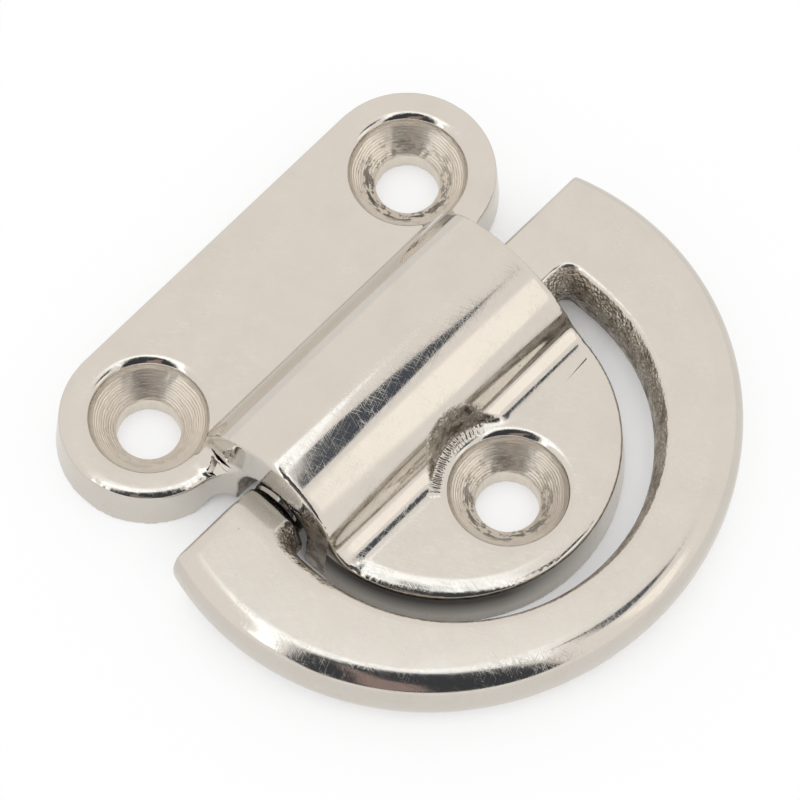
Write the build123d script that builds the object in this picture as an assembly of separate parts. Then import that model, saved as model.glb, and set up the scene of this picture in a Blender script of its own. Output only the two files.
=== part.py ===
from build123d import *
import math
import os

# Folding pad eye: a one-piece cast base for the deck and a one-piece cast D ring.
# The ring's straight bar lies in a tunnel that is open to the deck, so the base is
# bedded over the ring and the deck closes the hinge.
# Frame: origin on the deck, midway between the two rear screw holes. +X runs along
# the hinge, -Y towards the folded ring, +Z up from the deck. Millimetres.

# Screw holes
rear_hole_spacing = 38.7
front_hole_reach = 32.2
screw_bore = 6.6
countersink_diameter = 12.0
countersink_angle = 100.0
countersink_sink = 0.9
countersink_lip = 0.5

# Base plate, rear pad and front tongue
plate_thickness = 5.6
rear_pad_radius = 9.6
tongue_centre_y = -23.7
neck_fillet = 3.0
neck_web = 2.4
casting_draft = 4.0

# Hinge and ring bar
hinge_y = -16.2
ring_thickness = 7.8
ring_deck_clearance = 0.2
ring_side_play = 0.5
bar_front = 3.3
bar_back = 2.8
tunnel_clearance = 0.7
shoulder_clearance = 0.6
shoulder_length = 1.2

# Hood over the bar
hood_half_length = 18.3
hood_radius = 9.7
hood_back_shift = 0.8
hood_axis_drop = 0.3
hood_rear_root = 0.9
hood_front_cove = 3.2
driver_relief_radius = 7.75
driver_relief_flare = 24.0

# D ring outline and edges
eye_radius = 21.8
eye_centre_y = -24.2
eye_corner = 2.0
ring_half_width = 31.7
ring_half_depth = 30.3
ring_centre_y = -22.3
outer_top_round = 2.8
outer_bottom_round = 4.2
back_top_round = 1.3
back_bottom_round = 2.0
eye_top_round = 0.35
eye_bottom_round = 1.5

# Values that follow from the sizes above
hinge_z = ring_deck_clearance + ring_thickness / 2
bar_radius = ring_thickness / 2
tunnel_radius = bar_radius + tunnel_clearance
hood_y = hinge_y + hood_back_shift
hood_z = hinge_z - hood_axis_drop
shoulder_start = hood_half_length + ring_side_play + shoulder_clearance
cone_depth = (countersink_diameter - screw_bore) / 2 / math.tan(math.radians(countersink_angle / 2))
cone_top = plate_thickness - countersink_sink
reach = 200.0


def upright(face, height, taper=0.0):
    """Raise a deck outline straight up, drawn in by the casting draft."""
    return extrude(face, height, taper=taper)


def footprint():
    """Deck outline: rear pad, hood foot and front tongue, joined by round necks."""
    hole_x = rear_hole_spacing / 2
    neck_x = hood_half_length + neck_fillet
    neck_y = -math.sqrt((rear_pad_radius + neck_fillet) ** 2 - (neck_x - hole_x) ** 2)
    share = rear_pad_radius / (rear_pad_radius + neck_fillet)
    pad_end = (hole_x + (neck_x - hole_x) * share, neck_y * share)
    pad_tip = (hole_x + rear_pad_radius, 0)
    neck_end = (hood_half_length, neck_y)
    tongue_start = (hood_half_length, tongue_centre_y)
    tongue_tip = (0, tongue_centre_y - hood_half_length)
    half = Curve() + [
        RadiusArc(tongue_tip, tongue_start, -hood_half_length),
        Line(tongue_start, neck_end),
        RadiusArc(neck_end, pad_end, neck_fillet),
        RadiusArc(pad_end, pad_tip, -rear_pad_radius),
        RadiusArc(pad_tip, (hole_x, rear_pad_radius), -rear_pad_radius),
        Line((hole_x, rear_pad_radius), (0, rear_pad_radius)),
    ]
    return make_face(half.edges() + mirror(half, Plane.YZ).edges())


def along_hinge(section):
    """Run a side profile through the whole width of the casting."""
    return extrude(Plane.YZ * section, reach / 2, both=True)


def side_profile():
    """Hood on the plate from the side, with its rear root and front cove."""
    slab = Pos(0, plate_thickness / 2) * Rectangle(reach, plate_thickness)
    crown = Pos(hood_y, hood_z) * Circle(hood_radius)
    above_deck = Pos(0, reach / 2) * Rectangle(reach, reach)
    section = (slab + crown) & above_deck
    front_root, rear_root = inner_corners(section)
    section = fillet(front_root, hood_front_cove)
    front_root, rear_root = inner_corners(section)
    return fillet(rear_root, hood_rear_root)


def inner_corners(section):
    """The outermost corners of a profile at the level of the plate's top, left then right."""
    level = section.vertices().filter_by_position(Axis.Y, plate_thickness - 0.01, plate_thickness + 0.01)
    inside = [v for v in level.sort_by(Axis.X) if abs(v.X) < reach / 2 - 1]
    return inside[0], inside[-1]


def end_profile():
    """Hood on the plate from the front: drafted ends and the webs at their feet."""
    slab = Pos(0, plate_thickness / 2) * Rectangle(reach, plate_thickness)
    rise = 2 * hood_radius
    lean = rise * math.tan(math.radians(casting_draft))
    low = hood_half_length
    hood = make_face(Polyline((-low, 0), (low, 0), (low - lean, rise), (lean - low, rise), close=True))
    section = slab + hood
    return fillet(inner_corners(section), neck_web)


def casting_blank():
    """The casting's outer form before the tunnel and the holes are cut."""
    column = upright(footprint(), 2 * hood_radius, casting_draft)
    across = extrude(Plane.XZ * end_profile(), reach / 2, both=True)
    return column & along_hinge(side_profile()) & across


def tunnel_cutter():
    """Round-topped slot for the ring's bar, open to the deck."""
    arch = Pos(hinge_y, hinge_z) * Circle(tunnel_radius)
    slot = Pos(hinge_y, 0) * Rectangle(2 * tunnel_radius, 2 * hinge_z)
    return along_hinge(arch + slot)


def screw_cutter():
    """Screw bore, countersink, short straight wall and broken lip, as one lathe profile."""
    bore_r = screw_bore / 2
    head_r = countersink_diameter / 2
    lip_base = plate_thickness - countersink_lip
    cone_base = cone_top - cone_depth
    outline = [
        Line((0, -1), (bore_r, -1)),
        Line((bore_r, -1), (bore_r, cone_base)),
        Line((bore_r, cone_base), (head_r, cone_top)),
        Line((head_r, cone_top), (head_r, lip_base)),
        Line((head_r, lip_base), (head_r + countersink_lip, plate_thickness)),
        Line((head_r + countersink_lip, plate_thickness), (head_r + countersink_lip, reach / 8)),
        Line((head_r + countersink_lip, reach / 8), (0, reach / 8)),
        Line((0, reach / 8), (0, -1)),
    ]
    return revolve(Plane.XZ * make_face(outline), Axis.Z)


def driver_relief():
    """Flared recess in the cove that lets a screwdriver reach the front screw."""
    height = hood_radius
    top_radius = driver_relief_radius + height * math.tan(math.radians(driver_relief_flare))
    return Pos(0, 0, plate_thickness + height / 2) * Cone(driver_relief_radius, top_radius, height)


def make_base():
    """The base casting with its tunnel, three screw holes and the front relief."""
    rear_x = rear_hole_spacing / 2
    front = Pos(0, -front_hole_reach, 0)
    base = casting_blank() - tunnel_cutter() - front * driver_relief()
    for place in (Pos(-rear_x, 0, 0), Pos(rear_x, 0, 0), front):
        base -= place * screw_cutter()
    return base


def hinge_axis_disc(radius_near, radius_far, length):
    """Cone about the hinge axis that starts at the shoulder and runs outwards along +X."""
    cone = Rotation(0, 90, 0) * Cone(radius_near, radius_far, length)
    return Pos(shoulder_start + length / 2, hinge_y, hinge_z) * cone


def eye_outline():
    """D-shaped eye: a half circle in front, straight sides and a straight back."""
    back_y = hinge_y - bar_front
    half_disc = Circle(eye_radius) & Pos(0, -reach / 2) * Rectangle(reach, reach)
    straight = back_y - eye_centre_y
    block = Pos(0, straight / 2) * Rectangle(2 * eye_radius, straight)
    outline = Pos(0, eye_centre_y) * (half_disc + block)
    back_corners = outline.vertices().group_by(Axis.Y)[-1]
    return fillet(back_corners, eye_corner)


def oval_outline():
    """The ring's round outer edge: an arc in front bent as an oval is, run on by an arc up each side."""
    front_y = ring_centre_y - ring_half_depth
    past_back = hinge_y + 2 * bar_back
    front_radius = ring_half_width**2 / ring_half_depth
    rise = front_radius - ring_half_depth
    side_radius = (front_radius**2 - ring_half_width**2 - rise**2) / (2 * (front_radius - ring_half_width))
    side_x = ring_half_width - side_radius
    share = front_radius / (front_radius - side_radius)
    meeting = (side_x * share, front_y + front_radius - rise * share)
    side_end = (side_x + math.sqrt(side_radius**2 - (past_back - ring_centre_y) ** 2), past_back)
    half = Curve() + [
        RadiusArc((0, front_y), meeting, -front_radius),
        RadiusArc(meeting, side_end, -side_radius),
        Line(side_end, (0, past_back)),
    ]
    return make_face(half.edges() + mirror(half, Plane.YZ).edges())


def ring_disc():
    """Oval disc with the round outer edge, as thick as the ring, lying as folded."""
    disc = Pos(0, 0, ring_deck_clearance) * upright(oval_outline(), ring_thickness)
    disc = fillet(disc.edges().filter_by(GeomType.CIRCLE).group_by(Axis.Z)[-1], outer_top_round)
    return fillet(disc.edges().filter_by(GeomType.CIRCLE).group_by(Axis.Z)[0], outer_bottom_round)


def back_profile():
    """Everything in front of the ring's straight back, with its two rounded edges."""
    back_y = hinge_y + bar_back
    section = Pos(back_y - reach / 2, hinge_z) * Rectangle(reach, ring_thickness)
    upper = section.vertices().group_by(Axis.Y)[-1].sort_by(Axis.X)[-1]
    section = fillet(upper, back_top_round)
    lower = section.vertices().group_by(Axis.Y)[0].sort_by(Axis.X)[-1]
    return fillet(lower, back_bottom_round)


def eye_rim(ring, level):
    """The edges that run round the eye at one level of the ring."""
    rim = eye_outline().wire()

    def follows(edge):
        points = [edge @ share for share in (0.1, 0.5, 0.9)]
        return all(abs(p.Z - level) < 0.01 and Vertex(p.X, p.Y, 0).distance_to(rim) < 0.01 for p in points)

    return [edge for edge in ring.edges() if follows(edge)]


def cut_eye(plate):
    """Cut the eye through the ring's plate and round both of its rims."""
    low = ring_deck_clearance
    high = ring_deck_clearance + ring_thickness
    ring = plate - Pos(0, 0, low) * upright(eye_outline(), ring_thickness)
    ring = fillet(eye_rim(ring, high), eye_top_round)
    return fillet(eye_rim(ring, low), eye_bottom_round)


def bar_turning():
    """What is ground off the bar so that it turns in the tunnel, with cone shoulders."""
    bar_depth = bar_front + bar_back
    stock = Pos(0, hinge_y, hinge_z) * Box(2 * (shoulder_start + shoulder_length), 2 * bar_depth, 2 * bar_depth)
    journal = Pos(0, hinge_y, hinge_z) * Rotation(0, 90, 0) * Cylinder(bar_radius, 2 * shoulder_start + 1)
    corner = math.hypot(bar_front, bar_radius) + 0.1
    shoulder = hinge_axis_disc(bar_radius, corner, shoulder_length)
    return stock - journal - shoulder - mirror(shoulder, Plane.YZ)


def make_ring():
    """The D ring, folded flat with its bar on the hinge axis."""
    plate = ring_disc() & along_hinge(back_profile())
    return Pos(ring_side_play, 0, 0) * (cut_eye(plate) - bar_turning())


def main():
    """Write the two castings, each as one STEP file."""
    os.makedirs("parts", exist_ok=True)
    export_step(make_base(), "parts/base_casting.step")
    export_step(make_ring(), "parts/d_ring.step")


if __name__ == "__main__":
    main()
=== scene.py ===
"""Folding pad eye on a pale studio table: a hooded base casting and a D ring, both in polished stainless."""

import logging
import math
from collections.abc import Callable
from dataclasses import dataclass
from enum import Enum

import bpy
import numpy as np
from mathutils import Matrix, Vector

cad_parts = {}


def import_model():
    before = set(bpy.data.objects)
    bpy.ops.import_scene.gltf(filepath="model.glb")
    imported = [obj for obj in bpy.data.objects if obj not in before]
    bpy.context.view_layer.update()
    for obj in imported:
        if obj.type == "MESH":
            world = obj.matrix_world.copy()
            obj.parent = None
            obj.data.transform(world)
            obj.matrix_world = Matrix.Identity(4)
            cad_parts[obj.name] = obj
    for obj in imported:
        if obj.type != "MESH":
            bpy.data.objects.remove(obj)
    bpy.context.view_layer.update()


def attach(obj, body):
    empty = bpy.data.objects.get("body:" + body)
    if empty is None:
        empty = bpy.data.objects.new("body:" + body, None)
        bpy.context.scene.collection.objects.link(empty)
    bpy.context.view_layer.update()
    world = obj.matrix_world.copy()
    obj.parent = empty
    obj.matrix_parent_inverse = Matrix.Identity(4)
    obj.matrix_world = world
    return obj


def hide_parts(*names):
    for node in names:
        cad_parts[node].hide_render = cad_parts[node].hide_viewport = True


LOG = logging.getLogger("pad_eye")
MM = 0.001
BACKING = 60.0  # how far cutters and profiles run past the piece
UNDER = -1.0  # level below the deck that they start from
WELD = 0.001  # corners closer than this become one
LEVEL = 0.99999  # upward share of the normal from which a face counts as level

Solid = bpy.types.Object
Spot = tuple[float, float]
Triple = tuple[float, float, float]
Socket = bpy.types.NodeSocket
Level = Socket | float
Ports = bpy.types.NodeInputs | bpy.types.NodeOutputs

WHITE = (1.0, 1.0, 1.0, 1.0)


def opaque(tint: Triple) -> tuple[float, ...]:
    """Give a colour with full cover."""
    return (*tint, 1.0)


def clamp(value: float) -> float:
    """Hold a number between 0 and 1."""
    return max(0.0, min(1.0, value))


def ramp(values: np.ndarray, start: float, width: float) -> np.ndarray:
    """Rise from 0 at the start to 1 after the width; a negative width runs towards smaller values."""
    return np.clip((values - start) / width, 0, 1)


class Plane(Enum):
    """The plane that a profile is drawn on, as its two drawing axes and the direction it is extruded in."""

    DECK = ((1.0, 0.0, 0.0), (0.0, 1.0, 0.0), (0.0, 0.0, 1.0))
    SIDE = ((0.0, 1.0, 0.0), (0.0, 0.0, 1.0), (1.0, 0.0, 0.0))
    END = ((1.0, 0.0, 0.0), (0.0, 0.0, 1.0), (0.0, 1.0, 0.0))

    def lift(self, u: float, v: float, w: float = 0.0) -> Vector:
        """Give the point in metres for drawing coordinates in millimetres."""
        first, second, third = self.value
        return (Vector(first) * u + Vector(second) * v + Vector(third) * w) * MM


class Join(Enum):
    """How one solid is worked into another."""

    ADD = "UNION"
    CUT = "DIFFERENCE"
    KEEP_COMMON = "INTERSECT"


class Bench:
    """Hand operations on meshes that several pieces share."""

    @staticmethod
    def clear() -> None:
        """Leave edit mode and deselect everything."""
        if bpy.context.object and bpy.context.object.mode == "EDIT":
            bpy.ops.object.mode_set(mode="OBJECT")
        bpy.ops.object.select_all(action="DESELECT")

    @staticmethod
    def take(piece: Solid) -> None:
        """Make one object the only selected and active one."""
        Bench.clear()
        piece.select_set(True)
        bpy.context.view_layer.objects.active = piece

    @staticmethod
    def change(body: Solid, kind: str, **settings: object) -> None:
        """Put one modifier on a body and apply it.

        Args:
            body: The mesh.
            kind: Modifier type.
            settings: The modifier's properties.
        """
        Bench.take(body)
        bpy.ops.object.modifier_add(type=kind)
        step = body.modifiers[-1]
        for name, value in settings.items():
            setattr(step, name, value)
        bpy.ops.object.modifier_apply(modifier=step.name)

    @staticmethod
    def work(body: Solid, tool: Solid, join: Join) -> None:
        """Join, cut or intersect a body with a tool, which is used up."""
        Bench.change(body, "BOOLEAN", operation=join.value, solver="EXACT", object=tool)
        bpy.data.objects.remove(tool)

    @staticmethod
    def move(piece: Solid, x: float, y: float, z: float = 0.0) -> Solid:
        """Move a piece by millimetres, settle it there and give it back."""
        Bench.take(piece)
        bpy.ops.transform.translate(value=(x * MM, y * MM, z * MM))
        bpy.ops.object.transform_apply(location=True, rotation=False, scale=False)
        return piece

    @staticmethod
    def weld() -> None:
        """Make one corner of those that lie on each other, in edit mode."""
        bpy.ops.mesh.select_all(action="SELECT")
        bpy.ops.mesh.remove_doubles(threshold=WELD * MM)

    @staticmethod
    def face_outwards() -> None:
        """Turn all faces outwards and leave edit mode."""
        bpy.ops.mesh.select_all(action="SELECT")
        bpy.ops.mesh.normals_make_consistent(inside=False)
        bpy.ops.object.mode_set(mode="OBJECT")

    @staticmethod
    def cast(body: Solid, grain: float, passes: int) -> None:
        """Turn a sharp solid into one even skin and soften it as casting and polishing do.

        Args:
            body: The solid.
            grain: Size of the skin's faces in millimetres.
            passes: How often the skin is smoothed, which sets how round the edges get.
        """
        Bench.change(body, "REMESH", mode="VOXEL", voxel_size=grain * MM)
        Bench.change(body, "SMOOTH", factor=0.5, iterations=passes)
        bpy.ops.object.shade_smooth()

    @staticmethod
    def thin(body: Solid, share: float) -> None:
        """Keep only a share of a skin's faces, taking the rest from its level places."""
        group = body.vertex_groups.new(name="level")
        flat = [vertex.index for vertex in body.data.vertices if abs(vertex.normal.z) > LEVEL]
        group.add(flat, 1.0, "REPLACE")
        Bench.change(body, "DECIMATE", ratio=share, vertex_group=group.name)
        body.vertex_groups.clear()

    @staticmethod
    def weigh(body: Solid, share: Callable[[Vector], float], least: float) -> str:
        """Weight a skin's vertices.

        Args:
            body: The skin.
            share: Gives 0 to 1 for a point in millimetres.
            least: Weight up to which a vertex is left out.

        Returns:
            Name of the vertex group.
        """
        group = body.vertex_groups.new(name="share")
        for vertex in body.data.vertices:
            weight = share(vertex.co / MM)
            if weight > least:
                group.add([vertex.index], weight, "REPLACE")
        return group.name

    @staticmethod
    def soften(body: Solid, passes: int, share: Callable[[Vector], float]) -> None:
        """Round one region more than the rest, by smoothing it a number of times."""
        group = Bench.weigh(body, share, 0.01)
        Bench.change(body, "SMOOTH", factor=0.5, iterations=passes, vertex_group=group)
        body.vertex_groups.clear()

    @staticmethod
    def sink(body: Solid, depth: float, share: Callable[[Vector], float]) -> None:
        """Lower a region of a skin, by the depth in millimetres where the share is 1."""
        group = Bench.weigh(body, share, 0.001)
        Bench.change(body, "DISPLACE", direction="Z", mid_level=0.0, strength=-depth * MM, vertex_group=group)
        body.vertex_groups.clear()


class Sketch:
    """A closed outline, drawn with one vertex that is extruded along lines and spun round arcs."""

    def __init__(self, name: str, plane: Plane, start: Spot) -> None:
        """Start the outline at a point given in millimetres.

        Args:
            name: Name of the solid that the outline becomes.
            plane: Plane it is drawn on.
            start: First corner.
        """
        self.plane = plane
        self.at = start
        Bench.clear()
        bpy.ops.mesh.primitive_plane_add(size=MM)
        self.piece = bpy.context.object
        self.piece.name = name
        bpy.ops.object.mode_set(mode="EDIT")
        bpy.ops.mesh.select_mode(type="VERT")
        bpy.ops.mesh.merge(type="CENTER")
        bpy.ops.transform.translate(value=plane.lift(*start))

    def line(self, u: float, v: float) -> "Sketch":
        """Draw a straight line to a point in millimetres."""
        step = self.plane.lift(u - self.at[0], v - self.at[1])
        bpy.ops.mesh.extrude_vertices_move(TRANSFORM_OT_translate={"value": step})
        self.at = (u, v)
        return self

    def arc(self, centre: Spot, end: Spot, turn: int, step: float) -> "Sketch":
        """Draw an arc round a centre to an end point.

        Args:
            centre: Centre in millimetres.
            end: Point where the arc stops; only its direction from the centre counts.
            turn: 1 for counter-clockwise on the plane, -1 for clockwise.
            step: Largest turn of one segment in degrees.

        Returns:
            The sketch, for the next line.
        """
        first = math.atan2(self.at[1] - centre[1], self.at[0] - centre[0])
        last = math.atan2(end[1] - centre[1], end[0] - centre[0])
        sweep = (last - first) * turn % math.tau
        radius = math.dist(self.at, centre)
        pieces = max(2, math.ceil(math.degrees(sweep) / step))
        for number in range(1, pieces + 1):
            angle = first + turn * sweep * number / pieces
            self.line(centre[0] + radius * math.cos(angle), centre[1] + radius * math.sin(angle))
        return self

    def close(self) -> None:
        """Join the last corner to the first and fill the outline."""
        Bench.weld()
        bpy.ops.mesh.edge_face_add()

    def finish(self) -> Solid:
        """Turn all faces outwards and give the solid."""
        Bench.face_outwards()
        return self.piece

    def extrude(self, low: float, high: float) -> Solid:
        """Close the outline and run it from one depth to another, in millimetres."""
        self.close()
        bpy.ops.transform.translate(value=self.plane.lift(0, 0, low))
        depth = self.plane.lift(0, 0, high - low)
        bpy.ops.mesh.extrude_region_move(TRANSFORM_OT_translate={"value": depth})
        return self.finish()

    def raise_steps(self, base: float, steps: list[Spot]) -> Solid:
        """Close the outline and raise it in steps, each drawn in evenly all round.

        Args:
            base: Level of the outline.
            steps: Distance drawn in (negative for out) and height of each step; heights may all be negative.

        Returns:
            The solid.
        """
        self.close()
        bpy.ops.transform.translate(value=self.plane.lift(0, 0, base))
        bpy.ops.object.mode_set(mode="OBJECT")
        up = self.piece.data.polygons[0].normal.z > 0
        bpy.ops.object.mode_set(mode="EDIT")
        if up != (steps[0][1] > 0):
            bpy.ops.mesh.flip_normals()
        bpy.ops.mesh.select_mode(type="FACE")
        for inward, height in steps:
            bpy.ops.mesh.inset(thickness=abs(inward) * MM, depth=abs(height) * MM, use_outset=inward < 0)
        bpy.ops.mesh.select_mode(type="EDGE")
        bpy.ops.mesh.select_all(action="DESELECT")
        bpy.ops.mesh.select_non_manifold(extend=False)
        bpy.ops.mesh.edge_face_add()
        return self.finish()

    def turn_round(self, axis: tuple[int, int, int] = (0, 0, 1)) -> Solid:
        """Turn the outline once round an axis through the origin, as on a lathe."""
        Bench.weld()
        bpy.ops.mesh.spin(steps=128, angle=math.tau, center=(0, 0, 0), axis=axis)
        Bench.weld()
        return self.finish()


@dataclass(frozen=True)
class Nick:
    """A pointed pit in a casting's skin: its corners, place, turn in radians and half sizes in millimetres."""

    corners: int
    at: Triple
    turn: Triple
    size: Triple

    def build(self) -> Solid:
        """Make the pit's cutter, at its place."""
        Bench.clear()
        bpy.ops.mesh.primitive_cone_add(vertices=self.corners, radius1=0, radius2=MM, depth=2 * MM)
        pit = bpy.context.object
        pit.name = "nick"
        bpy.ops.transform.resize(value=self.size)
        bpy.ops.object.transform_apply(location=False, rotation=False, scale=True)
        pit.rotation_euler = self.turn
        pit.location = Vector(self.at) * MM
        bpy.ops.object.transform_apply(location=True, rotation=True, scale=True)
        return pit


# A three-sided pit and a leaf-shaped dent by the left hole, and two steps in the relief.
NICKS = (
    Nick(3, (-19.3, -9.1, 5.8), (0.1, -0.1, 0.9), (2.6, 2.9, 0.5)),
    Nick(24, (-16.95, -9.05, 6.68), (0.1, -0.2, -0.1), (2.4, 1.7, 0.36)),
    Nick(5, (4.9, -24.6, 9.1), (0.2, 0.3, 0.5), (0.9, 0.9, 1.6)),
    Nick(4, (3.4, -24.0, 10.3), (0.1, 0.4, 0.2), (1.1, 0.8, 1.4)),
)


@dataclass(frozen=True)
class BaseCasting:
    """The one-piece base: rear pad, hood over the hinge and front tongue. Sizes in millimetres."""

    hole_spacing: float = 38.7
    front_reach: float = 32.2
    bore: float = 6.6
    head: float = 12.0
    cone_angle: float = 100.0
    sink: float = 0.9
    lip: float = 0.7
    plate: float = 5.6
    pad_radius: float = 9.6
    tongue_y: float = -23.7
    neck_fillet: float = 3.0
    web: float = 2.4
    draft: float = 4.0
    hinge_y: float = -16.2
    hinge_z: float = 4.1
    tunnel_radius: float = 4.6
    hood_half: float = 18.3
    hood_radius: float = 9.7
    hood_y: float = -15.4
    hood_z: float = 3.8
    rear_root: float = 0.9
    front_cove: float = 3.2
    relief_radius: float = 7.9
    relief_flare: float = 14.0
    crown: float = 0.45
    rim_drop: float = 0.08
    neck_lift: float = 1.7
    skin: float = 0.23
    polish: int = 6
    rim_polish: int = 5
    kept: float = 0.52
    # Zones of the finish: share of raw skin or of painted shade, and where it ends.
    under_raw: float = 0.35
    tunnel_painted_shade: float = 0.3
    relief_painted_shade: Spot = (0.2, 0.4)
    hole_painted_shade: Triple = (0.15, 1.0, 0.85)
    painted_shade_reach: float = 5.4
    painted_shade_side: float = 200.0
    wall_painted_shade_turn: Spot = (-73.0, -45.0)
    end_front: float = -18.6
    end_top: float = 8.6
    tick_inner: float = 6.75
    tick_arc: Spot = (62.0, 142.0)

    def column(self) -> Solid:
        """Raise the deck outline: rear pad, hood foot and tongue with round necks."""
        hole = self.hole_spacing / 2
        neck_x = self.hood_half + self.neck_fillet
        reach = self.pad_radius + self.neck_fillet
        neck_y = -math.sqrt(reach**2 - (neck_x - hole) ** 2)
        share = self.pad_radius / reach
        pad_end = (hole + (neck_x - hole) * share, neck_y * share)
        pad, tongue, half = self.pad_radius, self.tongue_y, self.hood_half
        pen = Sketch("base_casting_skin", Plane.DECK, (0, tongue - half))
        pen.arc((0, tongue), (half, tongue), 1, 2.0).line(half, neck_y)
        pen.arc((neck_x, neck_y), pad_end, -1, 6.0).arc((hole, 0), (hole, pad), 1, 3.0)
        pen.line(-hole, pad).arc((-hole, 0), (-pad_end[0], pad_end[1]), 1, 3.0)
        pen.arc((-neck_x, neck_y), (-half, neck_y), -1, 6.0).line(-half, tongue)
        pen.arc((0, tongue), (0, tongue - half), 1, 2.0)
        height = 2 * self.hood_radius
        return pen.raise_steps(0, [(height * math.tan(math.radians(self.draft)), height)])

    def cove(self, radius: float, side: int) -> tuple[Spot, Spot]:
        """Work out where a round root meets the hood.

        Args:
            radius: Radius of the root in millimetres.
            side: -1 in front of the hood, 1 behind it.

        Returns:
            The root's centre and the point where it touches the hood.
        """
        level = self.plate + radius
        reach = self.hood_radius + radius
        centre = (self.hood_y + side * math.sqrt(reach**2 - (level - self.hood_z) ** 2), level)
        share = self.hood_radius / reach
        touch = (
            self.hood_y + (centre[0] - self.hood_y) * share,
            self.hood_z + (centre[1] - self.hood_z) * share,
        )
        return centre, touch

    def side_form(self) -> Solid:
        """Run the side profile, plate and hood with root and cove, across the casting."""
        rear, rear_touch = self.cove(self.rear_root, 1)
        front, front_touch = self.cove(self.front_cove, -1)
        pen = Sketch("side_form", Plane.SIDE, (BACKING, UNDER))
        pen.line(BACKING, self.plate).line(rear[0], self.plate)
        pen.arc(rear, rear_touch, -1, 6.0)
        pen.arc((self.hood_y, self.hood_z), front_touch, 1, 1.5)
        pen.arc(front, (front[0], self.plate), -1, 4.0)
        pen.line(-BACKING, self.plate).line(-BACKING, UNDER).line(BACKING, UNDER)
        return pen.extrude(-BACKING, BACKING)

    def end_form(self) -> Solid:
        """Run the end profile, plate and drafted hood with its webs, along the casting."""
        lean = math.radians(self.draft)
        level = self.plate + self.web
        spare = 0.04
        centre_x = self.hood_half - level * math.tan(lean) + self.web / math.cos(lean) + spare
        touch = (centre_x - self.web * math.cos(lean), level - self.web * math.sin(lean))
        top = 2 * self.hood_radius
        top_x = touch[0] - (top - touch[1]) * math.tan(lean)
        pen = Sketch("end_form", Plane.END, (BACKING, UNDER))
        pen.line(BACKING, self.plate).line(centre_x, self.plate)
        pen.arc((centre_x, level), touch, -1, 6.0).line(top_x, top).line(-top_x, top).line(-touch[0], touch[1])
        pen.arc((-centre_x, level), (-centre_x, self.plate), -1, 6.0)
        pen.line(-BACKING, self.plate).line(-BACKING, UNDER).line(BACKING, UNDER)
        return pen.extrude(-BACKING, BACKING)

    def tunnel(self) -> Solid:
        """Round-topped slot for the ring's bar, open to the deck."""
        near, far = self.hinge_y + self.tunnel_radius, self.hinge_y - self.tunnel_radius
        pen = Sketch("tunnel", Plane.SIDE, (near, UNDER))
        pen.line(near, self.hinge_z).arc((self.hinge_y, self.hinge_z), (far, self.hinge_z), 1, 3.0)
        pen.line(far, UNDER).line(near, UNDER)
        return pen.extrude(-BACKING, BACKING)

    def screw_hole(self, x: float, y: float) -> Solid:
        """Bore, countersink, short wall and rounded lip, turned on a lathe and set in place."""
        bore, head = self.bore / 2, self.head / 2
        depth = (head - bore) / math.tan(math.radians(self.cone_angle / 2))
        top = self.plate - self.sink
        pen = Sketch("screw_hole", Plane.END, (0, UNDER))
        pen.line(bore, UNDER).line(bore, top - depth).line(head, top).line(head, self.plate - self.lip)
        pen.arc((head + self.lip, self.plate - self.lip), (head + self.lip, self.plate), -1, 10.0)
        pen.line(head + self.lip, 4 * self.plate).line(0, 4 * self.plate)
        return Bench.move(pen.turn_round(), x, y)

    def relief(self) -> Solid:
        """Flared recess in the cove that lets a screwdriver reach the front screw."""
        height = self.hood_radius
        pen = Sketch("relief", Plane.END, (0, self.plate))
        pen.line(self.relief_radius, self.plate)
        pen.line(self.relief_radius + height * math.tan(math.radians(self.relief_flare)), self.plate + height)
        pen.line(0, self.plate + height)
        return Bench.move(pen.turn_round(), 0, -self.front_reach)

    def build(self) -> Solid:
        """Work the casting out of its forms and soften it, at its place."""
        body = self.column()
        for form in (self.side_form, self.end_form):
            Bench.work(body, form(), Join.KEEP_COMMON)
        for cutter in (self.tunnel, self.relief):
            Bench.work(body, cutter(), Join.CUT)
        for x, y in self.holes():
            Bench.work(body, self.screw_hole(x, y), Join.CUT)
        Bench.cast(body, self.skin, self.polish)
        Bench.sink(body, self.rim_drop, self.rim_share)
        Bench.soften(body, self.rim_polish, self.rim_share)
        Bench.sink(body, self.crown, self.crown_share)
        Bench.sink(body, -self.neck_lift, self.neck_share)
        Bench.thin(body, self.kept)
        for nick in NICKS:
            Bench.work(body, nick.build(), Join.CUT)
        return body

    def crown_share(self, point: Vector) -> float:
        """Say how far a point on the hood drops towards the hood's ends."""
        return clamp((point.x / self.hood_half) ** 2) * clamp((point.z - self.plate - 0.5) / 4.0)

    def holes(self) -> tuple[Spot, ...]:
        """Give the three screw holes' centres."""
        return ((-self.hole_spacing / 2, 0.0), (self.hole_spacing / 2, 0.0), (0.0, -self.front_reach))

    def relief_wall(self, points: np.ndarray, normals: np.ndarray) -> np.ndarray:
        """Find the flared wall of the relief: near its cone, facing its axis, above the plate."""
        x, y, z = points.T
        north = y + self.front_reach
        away = np.hypot(x, north)
        flare = self.relief_radius + np.maximum(z - self.plate, 0) * math.tan(math.radians(self.relief_flare))
        outward = (x * normals[:, 0] + north * normals[:, 1]) / np.maximum(away, 0.1)
        wall = ramp(np.abs(away - flare), 0.35, -0.15) * ramp(outward, -0.55, -0.2)
        return wall * (z > self.plate + 0.1) * (y > self.tongue_y - 4)

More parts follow.
